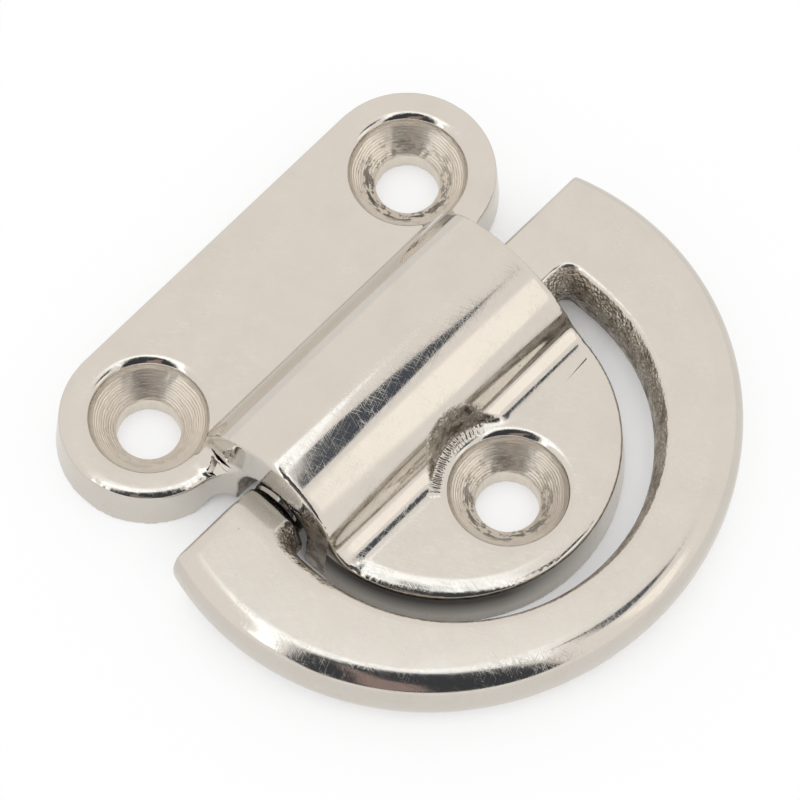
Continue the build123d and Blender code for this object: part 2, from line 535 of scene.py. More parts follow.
    def countersinks(self, x: np.ndarray, y: np.ndarray) -> tuple[np.ndarray, np.ndarray]:
        """Find what the bit turned, and the painted shade of the cone's own dark reflection in it, most of all
        on one side and near the bore.
        """
        turned, painted_shade = np.zeros(len(x)), np.zeros(len(x))
        for (east, north), amount in zip(self.holes(), self.hole_painted_shade):
            away = np.hypot(x - east, y - north)
            turned = np.maximum(turned, ramp(away, self.head / 2 + 0.1, -0.15))
            band = ramp(away, self.painted_shade_reach, -0.8) * ramp(away, self.bore / 2, 0.3)
            side = 0.65 + 0.35 * np.cos(np.arctan2(y - north, x - east) - math.radians(self.painted_shade_side))
            painted_shade = np.maximum(painted_shade, amount * band * side)
        return turned, painted_shade

    def regions(self, points: np.ndarray, normals: np.ndarray) -> np.ndarray:
        """Say where the casting is raw and turned, and where shade is painted. Each ramp's width is the soft
        edge of its zone.

        Args:
            points: Points in millimetres.
            normals: Their normals.

        Returns:
            Red for raw skin, green for turned metal, blue for painted shade and alpha for tool ticks by the
            front screw.
        """
        x, y, z = points.T
        turned, turned_painted_shade = self.countersinks(x, y)
        scoop = self.relief_wall(points, normals)
        from_hinge = np.hypot(y - self.hinge_y, np.maximum(z - self.hinge_z, 0))
        raw = np.maximum(ramp(from_hinge, self.tunnel_radius + 0.25, -0.2), self.under_raw * ramp(z, 0.3, -0.2))
        raw = np.maximum(raw * (1 - turned), scoop)
        end = ramp(np.abs(normals[:, 0]), 0.7, 0.2) * (np.abs(x) > self.hood_half - 1.6)
        end *= ramp(y, self.end_front, -0.5) * ramp(z, self.end_top, -0.5) * (y > self.tongue_y)
        raw = np.maximum(raw, end)
        around = np.degrees(np.arctan2(y - self.tongue_y, x))
        wall = (z < self.plate - 0.4) * (y < self.hood_y) * ramp(normals[:, 2], 0.5, -0.3)
        # Painted shade: the tongue's side wall in the gap by the ring, the tunnel, the relief's wall (darker to
        # the right) and the countersinks.
        painted_shade = np.maximum.reduce((
            wall * ramp(around, *self.wall_painted_shade_turn) * np.clip(0.4 + (z - 1.5) / 4.5, 0.4, 1),
            self.tunnel_painted_shade * ramp(from_hinge, self.tunnel_radius + 0.3, -0.2),
            (self.relief_painted_shade[0] + self.relief_painted_shade[1] * ramp(x, -2.0, 5.0)) * scoop,
            turned_painted_shade * turned,
        ))
        from_front = np.hypot(x, y + self.front_reach)
        bearing = np.degrees(np.arctan2(y + self.front_reach, x))
        ticks = ramp(from_front, self.relief_radius + 0.25, -0.2) * ramp(from_front, self.tick_inner, 0.2)
        ticks *= ramp(bearing, self.tick_arc[0], 12.0) * ramp(bearing, self.tick_arc[1], -14.0)
        return np.stack((raw, turned, painted_shade, ticks * (z > self.plate - 0.5)), axis=1)

    def neck_share(self, point: Vector) -> float:
        """Say how far the underside is ground away where pad and hood meet."""
        across = 1 - abs(abs(point.x) - self.hood_half + 0.3) / 4.2
        along = 1 - abs(point.y + 9.6) / 3.6
        return clamp(1.5 * across) * clamp(1.5 * along) * clamp((3.6 - point.z) / 3.0)

    def rim_share(self, point: Vector) -> float:
        """Say how far a point near the pad's or the tongue's upper rim rolls off."""
        if point.z < self.plate - 1.2 or point.y < self.hood_y and point.y > self.tongue_y + 3:
            return 0.0
        taper = self.plate * math.tan(math.radians(self.draft))
        if point.y > self.hood_y:
            hole = self.hole_spacing / 2
            inside = self.pad_radius - taper - math.hypot(max(0.0, abs(point.x) - hole), point.y)
            return max(0.0, 1 - inside / 1.3) ** 2 if point.z < self.plate + 0.2 else 0.0
        inside = self.hood_half - taper - math.hypot(point.x, point.y - self.tongue_y)
        around = math.degrees(math.atan2(point.y - self.tongue_y, point.x))
        width = 2.3 - 1.2 * clamp((around + 140) / 90)
        return max(0.0, 1 - inside / width) ** 2 * width / 1.15


@dataclass(frozen=True)
class DRing:
    """The one-piece ring with its straight bar, folded flat. Sizes in millimetres."""

    side_play: float = 0.5
    low: float = 0.2
    thickness: float = 7.8
    hinge_y: float = -16.2
    bar_front: float = 3.3
    bar_back: float = 2.8
    bar_radius: float = 3.3
    left_shoulder: float = 18.5
    left_run: float = 1.1
    right_shoulder: float = 17.3
    right_run: float = 1.3
    shoulder_drop: float = 0.45
    eye_bulge: float = 1.35
    bulge_turns: tuple[int, ...] = (0, 25, 45, 65, 90)
    eye_radius: float = 21.8
    eye_y: float = -24.2
    eye_corner: float = 2.0
    half_width: float = 31.7
    half_depth: float = 30.3
    centre_y: float = -22.3
    top_half_width: float = 29.3
    top_half_depth: float = 27.6
    low_half_width: float = 27.5
    low_half_depth: float = 26.1
    top_round: float = 2.8
    bottom_round: float = 4.2
    back_top_round: float = 1.3
    back_bottom_round: float = 2.0
    rim_steps: int = 12
    skin: float = 0.215
    polish: int = 6
    shoulder_polish: int = 20
    corner_polish: int = 110
    kept: float = 0.8
    # Zones of the finish: the ground-out corner, and shares of raw skin or of painted shade.
    scoop_x: float = -21.2
    scoop_y: float = -23.0
    scoop_radius: float = 3.0
    scoop_length: float = 1.6
    under_raw: float = 0.35
    wall_painted_shade: float = 0.45
    shoulder_painted_shade: float = 0.38
    under_hood_painted_shade: float = 0.5

    def levels(self) -> list[Triple]:
        """List the oval's height and two half sizes from the underside to the top, with both rounded rims."""
        found: list[Triple] = []
        top = self.low + self.thickness
        for height, rim, width, depth, quarter in (
            (self.low, self.bottom_round, self.low_half_width, self.low_half_depth, 0),
            (top, -self.top_round, self.top_half_width, self.top_half_depth, 90),
        ):
            for number in range(self.rim_steps + 1):
                turn = math.radians(quarter + 90 * number / self.rim_steps)
                found.append((
                    height + rim * (1 - abs(math.cos(turn))),
                    width + (self.half_width - width) * math.sin(turn),
                    depth + (self.half_depth - depth) * math.sin(turn),
                ))
        return found

    def disc(self) -> Solid:
        """Stack the oval's outlines from the underside to the top."""
        levels = self.levels()
        height, width, depth = levels[0]
        pivot = (0, self.centre_y * MM, height * MM)
        Bench.clear()
        bpy.ops.mesh.primitive_circle_add(vertices=256, radius=MM, fill_type="NGON", location=pivot)
        piece = bpy.context.object
        piece.name = "d_ring_skin"
        bpy.ops.object.transform_apply(location=True, rotation=False, scale=False)
        bpy.ops.object.mode_set(mode="EDIT")
        bpy.ops.transform.resize(value=(width, depth, 1), center_override=pivot)
        for below, above in zip(levels, levels[1:]):
            rise = (0, 0, (above[0] - below[0]) * MM)
            bpy.ops.mesh.extrude_region_move(TRANSFORM_OT_translate={"value": rise})
            growth = (above[1] / below[1], above[2] / below[2], 1)
            bpy.ops.transform.resize(value=growth, center_override=pivot)
        Bench.weld()
        Bench.face_outwards()
        return piece

    def back_form(self) -> Solid:
        """Everything in front of the straight back, with its two rounded edges."""
        back, low, top = self.hinge_y + self.bar_back, self.low, self.low + self.thickness
        over, under = self.back_top_round, self.back_bottom_round
        pen = Sketch("back_form", Plane.SIDE, (back, low + under))
        pen.line(back, top - over).arc((back - over, top - over), (back - over, top), 1, 8.0)
        pen.line(back - over, top + 1).line(-2 * BACKING, top + 1).line(-2 * BACKING, low - 1)
        pen.line(back - under, low - 1).line(back - under, low)
        pen.arc((back - under, low + under), (back, low + under), 1, 8.0)
        return pen.extrude(-BACKING, BACKING)

    def eye(self, side: int) -> Solid:
        """Half of the D-shaped opening's cutter, whose wall bulges towards the parting line.

        Args:
            side: 1 for the upper half, -1 for the lower.

        Returns:
            The cutter.
        """
        back = self.hinge_y - self.bar_front
        corner = self.eye_corner
        radius, y = self.eye_radius, self.eye_y
        pen = Sketch("eye", Plane.DECK, (0, y - radius))
        pen.arc((0, y), (radius, y), 1, 2.0).line(radius, back - corner)
        pen.arc((radius - corner, back - corner), (radius - corner, back), 1, 10.0)
        pen.line(corner - radius, back).arc((corner - radius, back - corner), (-radius, back - corner), 1, 10.0)
        pen.line(-radius, y).arc((0, y), (0, y - radius), 1, 2.0)
        half = self.thickness / 2
        middle = self.low + half
        over = 1.0
        steps = [(0.0, -side * over)]
        levels = [math.cos(math.radians(turn)) for turn in self.bulge_turns]
        for above, below in zip(levels, levels[1:]):
            drawn = self.eye_bulge * (above**2 - below**2)
            steps.append((drawn, -side * half * (above - below)))
        return pen.raise_steps(middle + side * (half + over), steps)

    def journal(self) -> Solid:
        """The round bar with a shoulder at each end, turned about its own axis."""
        wide = self.thickness
        left, right = self.left_shoulder, self.right_shoulder
        pen = Sketch("journal", Plane.END, (-left - self.left_run, 0))
        pen.line(-left - self.left_run, wide).line(-left, self.bar_radius).line(right, self.bar_radius)
        pen.line(right + self.right_run, wide).line(right + self.right_run, 0)
        return Bench.move(pen.turn_round((1, 0, 0)), 0, self.hinge_y, self.low + self.thickness / 2)

    def waste(self) -> Solid:
        """Everything round the bar that is ground away between the shoulders."""
        spare = 0.02
        left, right = self.left_shoulder + self.left_run - spare, self.right_shoulder + self.right_run - spare
        front, back = self.hinge_y - self.thickness, self.hinge_y + self.thickness
        pen = Sketch("waste", Plane.DECK, (-left, front))
        pen.line(right, front).line(right, back).line(-left, back)
        block = pen.extrude(-self.thickness, 2 * self.thickness)
        Bench.work(block, self.journal(), Join.CUT)
        return block

    def build(self) -> Solid:
        """Work the ring out of its oval disc and soften it, at its place."""
        plate = self.disc()
        Bench.work(plate, self.back_form(), Join.KEEP_COMMON)
        for cutter in (self.eye(1), self.eye(-1), self.waste()):
            Bench.work(plate, cutter, Join.CUT)
        Bench.cast(plate, self.skin, self.polish)
        Bench.soften(plate, self.shoulder_polish, self.shoulder_share)
        Bench.soften(plate, self.corner_polish, self.corner_share)
        Bench.sink(plate, self.shoulder_drop, self.drop_share)
        Bench.thin(plate, self.kept)
        return Bench.move(plate, self.side_play, 0)

    def regions(self, points: np.ndarray, normals: np.ndarray) -> np.ndarray:
        """Say where the ring is raw: its eye's wall, its underside and the bar; and where shade is painted.

        Args:
            points: Points in millimetres.
            normals: Their normals.

        Returns:
            Red for raw skin and blue for painted shade; green and alpha are 0, as nothing is turned.
        """
        x, y, z = points.T
        x = x - self.side_play
        up = normals[:, 2]
        front = self.hinge_y - self.bar_front
        round_part = np.hypot(x, np.minimum(y - self.eye_y, 0)) - self.eye_radius
        wall = np.where(y > self.eye_y, np.maximum(np.abs(x) - self.eye_radius, y - front), round_part)
        raw = ramp(wall, 0.45, -0.25) * ramp(up, 0.8, -0.25)
        raw *= np.clip((np.abs(x) - self.right_shoulder - 0.2) / 0.4 + (front - 0.3 - y) / 0.4, 0, 1)
        raw = np.maximum(raw, self.under_raw * ramp(z, 0.5, -0.2))
        away = np.hypot(x - self.scoop_x, (y - self.scoop_y) / self.scoop_length)
        scoop = ramp(away, self.scoop_radius, -0.6)
        raw = np.maximum(raw, scoop * ramp(up, 0.965, -0.02) * (wall < 0.9))
        edge = -self.left_shoulder - self.left_run
        shoulder_shade = ramp(x, edge - 3.6, 3.6) ** 2 * (x < edge + 1.0) * (y > front - 1.0) * ramp(z, 5.0, 1.5)
        under_hood = ramp(x, edge + 0.1, 0.5) * (x < edge + 3.0) * (y > self.hinge_y - 6.0)
        # Painted shade: the eye's wall darker towards the bottom, the upper face by the left shoulder darker
        # towards the hood, and the bar under the hood.
        painted_shade = np.maximum.reduce((
            self.wall_painted_shade * raw * ramp(z, 5.4, -2.5) * (1 - 0.7 * scoop),
            self.shoulder_painted_shade * shoulder_shade,
            self.under_hood_painted_shade * under_hood,
        ))
        bare = np.zeros(len(points))
        return np.stack((raw, bare, painted_shade, bare), axis=1)

    def corner_share(self, point: Vector) -> float:
        """Say how much the eye's ground-out left corner is rounded."""
        away = math.hypot(point.x - self.scoop_x, (point.y - self.scoop_y) / self.scoop_length)
        return clamp(min((self.scoop_radius + 0.2 - away) / 1.4, (point.z - 4.0) / 1.5))

    def drop_share(self, point: Vector) -> float:
        """Say how far the upper face by the left shoulder rolls off towards the hood."""
        edge = -self.left_shoulder - self.left_run
        across = clamp((point.x - edge + 3.2) / 3.2) ** 2 if point.x < edge + 1.5 else 0.0
        along = clamp((point.y - self.hinge_y + self.bar_front + 2.5) / 2.0)
        return across * along * clamp((point.z - 4.5) / 2.0)

    def shoulder_share(self, point: Vector) -> float:
        """Say how much of the hand-ground rounding a point at the left shoulder gets."""
        end = 1 - abs(point.x + self.left_shoulder + 0.6) / 2.0
        return clamp(min(end * 1.6, (point.z - 5.5) / 1.5, (point.y - self.hinge_y + 5.5) / 1.5))


class Board:
    """Short way to lay out the nodes of one material or node group."""

    def __init__(self, tree: bpy.types.NodeTree) -> None:
        """Keep the tree that nodes are laid out in."""
        self.tree = tree

    def add(self, kind: str, settings: dict[str, object] | None = None, **inputs: object) -> bpy.types.Node:
        """Add one node.

        Args:
            kind: Node type.
            settings: Properties to set on the node.
            inputs: Input sockets by name, with underscores for spaces; a socket is linked, a value is set.

        Returns:
            The node.
        """
        node = self.tree.nodes.new(kind)
        for name, value in (settings or {}).items():
            setattr(node, name, value)
        for name, value in inputs.items():
            self.feed(node.inputs[name.replace("_", " ")], value)
        return node

    def feed(self, socket: Socket, value: object) -> None:
        """Link a socket to another one, or set its value."""
        if isinstance(value, Socket):
            self.tree.links.new(value, socket)
        else:
            socket.default_value = value

    def sum(self, operation: str, *values: Level) -> Socket:
        """Calculate with two or three numbers."""
        node = self.add("ShaderNodeMath", {"operation": operation})
        for socket, value in zip(node.inputs, values):
            self.feed(socket, value)
        return node.outputs[0]

    def times(self, first: Level, second: Level, plus: Level | None = None) -> Socket:
        """Multiply two numbers, and add a third if there is one."""
        if plus is None:
            return self.sum("MULTIPLY", first, second)
        return self.sum("MULTIPLY_ADD", first, second, plus)

    def span(self, value: Level, low: float, high: float, to_low: float = 0.0, to_high: float = 1.0) -> Socket:
        """Map a range of numbers smoothly to another range."""
        node = self.add("ShaderNodeMapRange", {"interpolation_type": "SMOOTHSTEP"})
        for socket, number in zip(node.inputs, (value, low, high, to_low, to_high)):
            self.feed(socket, number)
        return node.outputs[0]

    def blend(self, share: Level, first: object, second: object) -> Socket:
        """Mix two colours."""
        node = self.add("ShaderNodeMix", {"data_type": "RGBA"})
        for number, value in ((0, share), (6, first), (7, second)):
            self.feed(node.inputs[number], value)
        return node.outputs[2]

    def mix(self, share: Level, first: Socket, second: Socket) -> Socket:
        """Mix two shaders."""
        node = self.add("ShaderNodeMixShader")
        for socket, value in zip(node.inputs, (share, first, second)):
            self.feed(socket, value)
        return node.outputs[0]

    def noise(self, place: Socket, size: float, detail: float = 2.0, rough: float = 0.5) -> Socket:
        """Read noise whose lumps are about as large as a size in millimetres."""
        settings = {"Scale": 1.0 / (size * MM), "Detail": detail, "Roughness": rough}
        return self.add("ShaderNodeTexNoise", Vector=place, **settings).outputs[0]

    def stretch(self, place: Socket, turn: float, along: float) -> Socket:
        """Turn a place about the vertical axis and squeeze it along its new X axis."""
        node = self.add("ShaderNodeMapping", {"vector_type": "TEXTURE"}, Vector=place)
        node.inputs["Rotation"].default_value = (0, 0, math.radians(turn))
        node.inputs["Scale"].default_value = (along, 1, max(1.0, along / 3))
        return node.outputs[0]


def new_material(name: str) -> tuple[bpy.types.Material, Board]:
    """Start a material and give it with its board."""
    material = bpy.data.materials.new(name)
    material.use_nodes = True
    return material, Board(material.node_tree)


class Effect:
    """A node group for one surface effect, built once and placed in each material."""

    name: str = ""
    inputs: tuple[tuple[str, float | Triple], ...] = ()
    outputs: tuple[str, ...] = ()

    @classmethod
    def group(cls) -> bpy.types.NodeTree:
        """Give the effect's group, built when it is first needed."""
        known = bpy.data.node_groups.get(cls.name)
        if known:
            return known
        tree = bpy.data.node_groups.new(cls.name, "ShaderNodeTree")
        for name, value in (("Place", (0.0, 0.0, 0.0)), *cls.inputs):
            kind = "NodeSocketVector" if isinstance(value, tuple) else "NodeSocketFloat"
            tree.interface.new_socket(name, in_out="INPUT", socket_type=kind).default_value = value
        for name in cls.outputs:
            tree.interface.new_socket(name, in_out="OUTPUT", socket_type="NodeSocketFloat")
        board = Board(tree)
        cls.lay_out(board, board.add("NodeGroupInput").outputs, board.add("NodeGroupOutput").inputs)
        return tree

    @classmethod
    def lay_out(cls, board: Board, given: Ports, out: Ports) -> None:
        """Lay out the group's nodes between its inputs and outputs."""
        raise NotImplementedError

    @classmethod
    def place(cls, board: Board, place: Socket, **inputs: object) -> bpy.types.Node:
        """Put the group into a material.

        Args:
            board: The material's board.
            place: Object coordinates.
            inputs: The material's own values.

        Returns:
            The group node.
        """
        node = board.add("ShaderNodeGroup", {"node_tree": cls.group()}, Place=place, **inputs)
        node.label = cls.name
        return node


class PolishingWaves(Effect):
    """Slow unevenness that hand polishing leaves, with a finer orange peel on it."""

    name = "polishing_waves"
    inputs = (("Broad", 0.02), ("Fine", 0.0015))
    outputs = ("Height",)

    @classmethod
    def lay_out(cls, board: Board, given: Ports, out: Ports) -> None:
        """Add broad and fine lumps, in millimetres."""
        broad = board.times(board.noise(given["Place"], 11.0, 1.0), given["Broad"])
        fine = board.times(board.noise(given["Place"], 2.2, 2.0), given["Fine"])
        board.feed(out["Height"], board.sum("ADD", broad, fine))


class CloudyFilm(Effect):
    """Cloudy smudges where polishing paste and fingers have been."""

    name = "cloudy_film"
    inputs = (("Amount", 0.5),)
    outputs = ("Film", "Tone")

    @classmethod
    def lay_out(cls, board: Board, given: Ports, out: Ports) -> None:
        """Mix broad clouds with small flecks."""
        cloud = board.span(board.noise(given["Place"], 5.0, 4.0, 0.6), 0.42, 0.68)
        fleck = board.span(board.noise(given["Place"], 0.9, 3.0, 0.6), 0.55, 0.75)
        film = board.times(fleck, 0.35, board.times(cloud, 0.65))
        board.feed(out["Film"], board.times(film, given["Amount"]))
        board.feed(out["Tone"], board.noise(given["Place"], 3.0, 5.0, 0.65))


class Hairlines(Effect):
    """Fine wiping scratches in three directions, thicker in some patches than in others."""

    name = "hairlines"
    inputs = (("Amount", 1.0),)
    outputs = ("Scratch",)
    directions = ((-62.0, 0.08, 30.0), (18.0, 0.07, 34.0), (74.0, 0.08, 26.0))  # degrees, width, stretch

    @classmethod
    def lay_out(cls, board: Board, given: Ports, out: Ports) -> None:
        """Cut thin dashes out of stretched noise."""
        whole: Level = 0.0
        for turn, width, stretch in cls.directions:
            lines = board.noise(board.stretch(given["Place"], turn, stretch), width, 1.0)
            whole = board.sum("ADD", board.span(lines, 0.58, 0.72), whole)
        patch = board.span(board.noise(given["Place"], 4.0, 2.0), 0.35, 0.65, 0.35, 1.0)
        board.feed(out["Scratch"], board.times(board.times(whole, patch), given["Amount"]))


class Dings(Effect):
    """Sparse little dents, and pinholes that are only painted shade: dark dots of colour with no pit."""

    name = "dings"
    inputs = (("Spacing", 3.2),)
    outputs = ("Dent", "Pinhole")
    no_dent, no_pinhole = 0.72, 0.93  # share of cells without one

    @classmethod
    def lay_out(cls, board: Board, given: Ports, out: Ports) -> None:
        """Put a dent in the middle of some cells, and a pinhole in a few."""
        cells = board.add("ShaderNodeTexVoronoi", Vector=board.stretch(given["Place"], 35.0, 1.6))
        board.feed(cells.inputs["Scale"], board.sum("DIVIDE", 1.0 / MM, given["Spacing"]))
        pick = board.add("ShaderNodeSeparateColor", Color=cells.outputs["Color"])
        dent = board.span(cells.outputs["Distance"], 0.02, 0.075, 1.0, 0.0)
        board.feed(out["Dent"], board.times(dent, board.sum("GREATER_THAN", pick.outputs[0], cls.no_dent)))
        hole = board.span(cells.outputs["Distance"], 0.02, 0.04, 1.0, 0.0)
        board.feed(out["Pinhole"], board.times(hole, board.sum("GREATER_THAN", pick.outputs[1], cls.no_pinhole)))


class LatheMarks(Effect):
    """Rings and chatter that a countersink bit leaves round its hole."""

    name = "lathe_marks"
    inputs = (("Centred", (0.0, 0.0, 0.0)), ("Pitch", 0.24))
    outputs = ("Height", "ShadeSmear", "Streak", "Ticks")

    @classmethod
    def lay_out(cls, board: Board, given: Ports, out: Ports) -> None:
        """Ring the place round the hole's centre; Centred is measured from there."""
        east, north, _ = board.add("ShaderNodeSeparateXYZ", Vector=given["Centred"]).outputs
        radius = board.sum("SQRT", board.times(east, east, board.times(north, north)))
        radius = board.sum("DIVIDE", radius, MM)
        around = board.sum("ARCTAN2", north, east)
        wobble = board.noise(given["Place"], 2.6, 2.0)
        turns = board.sum("DIVIDE", board.times(wobble, 0.35, radius), given["Pitch"])
        groove = board.sum("SINE", board.times(turns, math.tau))
        swirl = board.times(radius, 2.2, board.times(around, 23.0))
        chatter = board.times(board.sum("SINE", swirl), board.span(wobble, 0.45, 0.65))
        scuff = cls.spun(board, radius, around, (7.0, 1.6), 3.0, 0.7)
        height = board.times(groove, 0.25, board.times(chatter, 0.35))
        board.feed(out["Height"], board.times(scuff, 1.6, height))
        board.feed(out["Streak"], scuff)
        # ShadeSmear marks the smears where the countersink's painted shade is kept.
        board.feed(out["ShadeSmear"], board.span(cls.spun(board, radius, around, (1.3, 2.4), 6.0, 0.72), 0.49, 0.56))
        tick = board.sum("SINE", board.times(around, 95.0, board.times(wobble, 16.0)))
        board.feed(out["Ticks"], board.times(board.noise(given["Place"], 0.35, 2.0), 1.2, tick))

    @staticmethod
    def spun(board: Board, radius: Socket, around: Socket, size: Spot, detail: float, rough: float) -> Socket:
        """Read noise that runs round the hole, sized along the radius and along the turn."""
        x, y = board.times(radius, size[0]), board.times(around, size[1])
        place = board.add("ShaderNodeCombineXYZ", X=x, Y=y)
        settings = {"Scale": 1.0, "Detail": detail, "Roughness": rough}
        return board.add("ShaderNodeTexNoise", Vector=place.outputs[0], **settings).outputs[0]


class CastGrain(Effect):
    """The sandy skin of the raw casting where the polishing wheel didn't reach."""

    name = "cast_grain"
    inputs = (("Grain", 0.32), ("Size", 0.36))
    outputs = ("Height", "Stain")

    @classmethod
    def lay_out(cls, board: Board, given: Ports, out: Ports) -> None:
        """Pack grains over slow lumps and stain the hollows."""
        cells = board.add("ShaderNodeTexVoronoi", {"feature": "F1"}, Vector=given["Place"])
        board.feed(cells.inputs["Scale"], board.sum("DIVIDE", 1.0 / MM, given["Size"]))
        lumps = board.noise(given["Place"], 1.1, 3.0, 0.6)
        height = board.times(cells.outputs[0], -1.0, board.times(lumps, 1.5))
        board.feed(out["Height"], board.times(height, given["Grain"]))
        board.feed(out["Stain"], board.span(board.noise(given["Place"], 1.6, 4.0, 0.7), 0.4, 0.65))


@dataclass(frozen=True)
class WorkedStainless:
    """Stainless casting, mirror-polished outside, raw in its recesses and turned in its countersinks.

    The piece's colour attribute "finish" says where: red is raw skin, green is turned metal, blue is painted
    shade, a near-black colour laid into hollows and gaps, and alpha is the band of tool ticks.
    """

    name: str
    holes: tuple[Spot, ...] = ()
    tint: Triple = (0.72, 0.695, 0.65)
    cool_tint: Triple = (0.67, 0.66, 0.635)
    raw_tint: Triple = (0.74, 0.70, 0.64)
    stain_tint: Triple = (0.36, 0.31, 0.25)
    turned_light: Triple = (1.0, 0.97, 0.91)
    turned_dark: Triple = (0.70, 0.64, 0.56)
    painted_shade_tint: Triple = (0.022, 0.018, 0.015)
    film_tint: Triple = (0.58, 0.55, 0.50)
    film_cover: float = 0.5
    painted_shade_cover: float = 0.93
    patchy_painted_shade: float = 0.7
    pinhole_painted_shade_tint: Triple = (0.05, 0.045, 0.04)
    # Roughness of clean polish and what each effect adds; below it, reliefs in millimetres.
    roughness: float = 0.055
    film_roughness: float = 0.10
    scratch_roughness: float = 0.16
    raw_roughness: float = 0.24
    turned_roughness: float = 0.25
    tick_roughness: float = 0.08
    dent_depth: float = 0.006
    scratch_depth: float = 0.0011
    grain_height: float = 0.42
    lathe_height: float = 0.045
    tick_height: float = 0.05

    def build(self) -> bpy.types.Material:
        """Lay out the material: polish, raw skin, then turned metal and painted shade.

        Returns:
            The material.
        """
        material, board = new_material(self.name)
        shader = material.node_tree.nodes["Principled BSDF"]
        place = board.add("ShaderNodeTexCoord").outputs["Object"]
        finish = board.add("ShaderNodeAttribute", {"attribute_name": "finish"}).outputs
        raw, turned, painted_shade = board.add("ShaderNodeSeparateColor", Color=finish["Color"]).outputs
        waves, film, scratch, grain, dings = (
            effect.place(board, place).outputs
            for effect in (PolishingWaves, CloudyFilm, Hairlines, CastGrain, Dings)
        )
        polish = board.blend(film["Tone"], opaque(self.tint), opaque(self.cool_tint))
        polish = board.blend(board.times(film["Film"], self.film_cover), polish, opaque(self.film_tint))
        # Pinholes are painted shade: near-black dots in the colour, with no pit in the skin.
        polish = board.blend(dings["Pinhole"], polish, opaque(self.pinhole_painted_shade_tint))
        cast = board.blend(grain["Stain"], opaque(self.raw_tint), opaque(self.stain_tint))
        colour = board.blend(raw, polish, cast)
        rough = board.times(film["Film"], self.film_roughness, self.roughness)
        rough = board.times(scratch["Scratch"], self.scratch_roughness, rough)
        rough = board.times(raw, self.raw_roughness, rough)
        height = board.times(dings["Dent"], -self.dent_depth, waves["Height"])
        height = board.times(scratch["Scratch"], -self.scratch_depth, height)
        height = board.times(board.times(grain["Height"], raw), self.grain_height, height)
        if self.holes:
            marks = LatheMarks.place(board, place, Centred=self.from_nearest_hole(board, place)).outputs
            tone = board.blend(marks["Streak"], opaque(self.turned_dark), opaque(self.turned_light))
            colour = board.blend(turned, colour, tone)
            rough = board.times(turned, self.turned_roughness, rough)
            rough = board.times(finish["Alpha"], self.tick_roughness, rough)
            height = board.times(board.times(marks["Height"], turned), self.lathe_height, height)
            height = board.times(board.times(marks["Ticks"], finish["Alpha"]), self.tick_height, height)
            # In the countersinks the painted shade stays only on the shade smears.
            clean = board.times(turned, board.sum("SUBTRACT", 1.0, marks["ShadeSmear"]))
            painted_shade = board.times(painted_shade, board.sum("SUBTRACT", 1.0, clean))
        # Painted shade: the blue share turns the colour near black, in patches on raw skin.
        patchy = board.times(board.times(raw, painted_shade), grain["Stain"])
        painted_shade = board.times(patchy, self.patchy_painted_shade, board.times(painted_shade, self.painted_shade_cover))
        board.feed(shader.inputs["Base Color"], board.blend(painted_shade, colour, opaque(self.painted_shade_tint)))
        board.feed(shader.inputs["Roughness"], rough)
        shader.inputs["Metallic"].default_value = 1.0
        bump = board.add("ShaderNodeBump", Height=height)
        bump.inputs["Distance"].default_value = MM
        board.feed(shader.inputs["Normal"], bump.outputs["Normal"])
        return material

    def from_nearest_hole(self, board: Board, place: Socket) -> Socket:
        """Measure a place from the centre of its own screw hole: left or right rear, or front."""
        (left, rear), (right, _), (middle, front) = ((x * MM, y * MM) for x, y in self.holes)
        split = board.add("ShaderNodeSeparateXYZ", Vector=place)
        ahead = board.sum("LESS_THAN", split.outputs[1], (rear + front) / 2)
        eastward = board.sum("GREATER_THAN", split.outputs[0], (left + right) / 2)
        behind = board.sum("SUBTRACT", 1.0, ahead)
        centre_x = board.times(behind, board.times(eastward, right - left, left))
        centre_x = board.times(ahead, middle, centre_x)
        centre_y = board.times(ahead, front - rear, rear)
        centre = board.add("ShaderNodeCombineXYZ", X=centre_x, Y=centre_y, Z=0.0)
        away = board.add("ShaderNodeVectorMath", {"operation": "SUBTRACT"})
        board.feed(away.inputs[0], place)
        board.feed(away.inputs[1], centre.outputs[0])
        return away.outputs[0]


@dataclass(frozen=True)
class Card:
    """A flat reflector or flag near the lens, seen only as a reflection in the metal.

    The outline is in degrees to the right of and above the lens, as the object sees it.
    """

    name: str
    tone: Triple
    outline: tuple[Spot, ...]
    distance: float
    rim: float = 0.05

    def build(self, facing: Matrix) -> None:
        """Cut the card, feather its rim and hang it up, facing as the camera does."""
        spots = []
        for right, up in self.outline:
            turn = math.hypot(right, up)
            reach = self.distance * math.tan(math.radians(turn)) / MM
            spots.append((right / turn * reach, up / turn * reach))
        pen = Sketch(self.name, Plane.DECK, spots[0])
        for spot in spots[1:]:
            pen.line(*spot)
        pen.close()
        bpy.ops.mesh.select_mode(type="FACE")
        bpy.ops.mesh.select_all(action="SELECT")
        bpy.ops.mesh.inset(thickness=self.rim, depth=0)
        bpy.ops.object.mode_set(mode="OBJECT")
        card = pen.piece
        mesh = card.data
        cover = mesh.attributes.new("cover", "FLOAT", "POINT")
        for face in mesh.polygons:
            if face.select:
                for corner in face.vertices:
                    cover.data[corner].value = 1.0
        card.matrix_world = facing @ Matrix.Translation((0, 0, self.distance))
        material, board = new_material(self.name)
        material.node_tree.nodes.clear()
        share = board.add("ShaderNodeAttribute", {"attribute_name": "cover"}).outputs["Fac"]
        glow = board.add("ShaderNodeEmission", Color=opaque(self.tone))
        clear = board.add("ShaderNodeBsdfTransparent")
        seen = board.mix(board.span(share, 0.0, 1.0), clear.outputs[0], glow.outputs[0])
        board.add("ShaderNodeOutputMaterial", Surface=seen)
        mesh.materials.append(material)
        card.visible_camera = False
        card.visible_diffuse = False
        card.visible_shadow = False


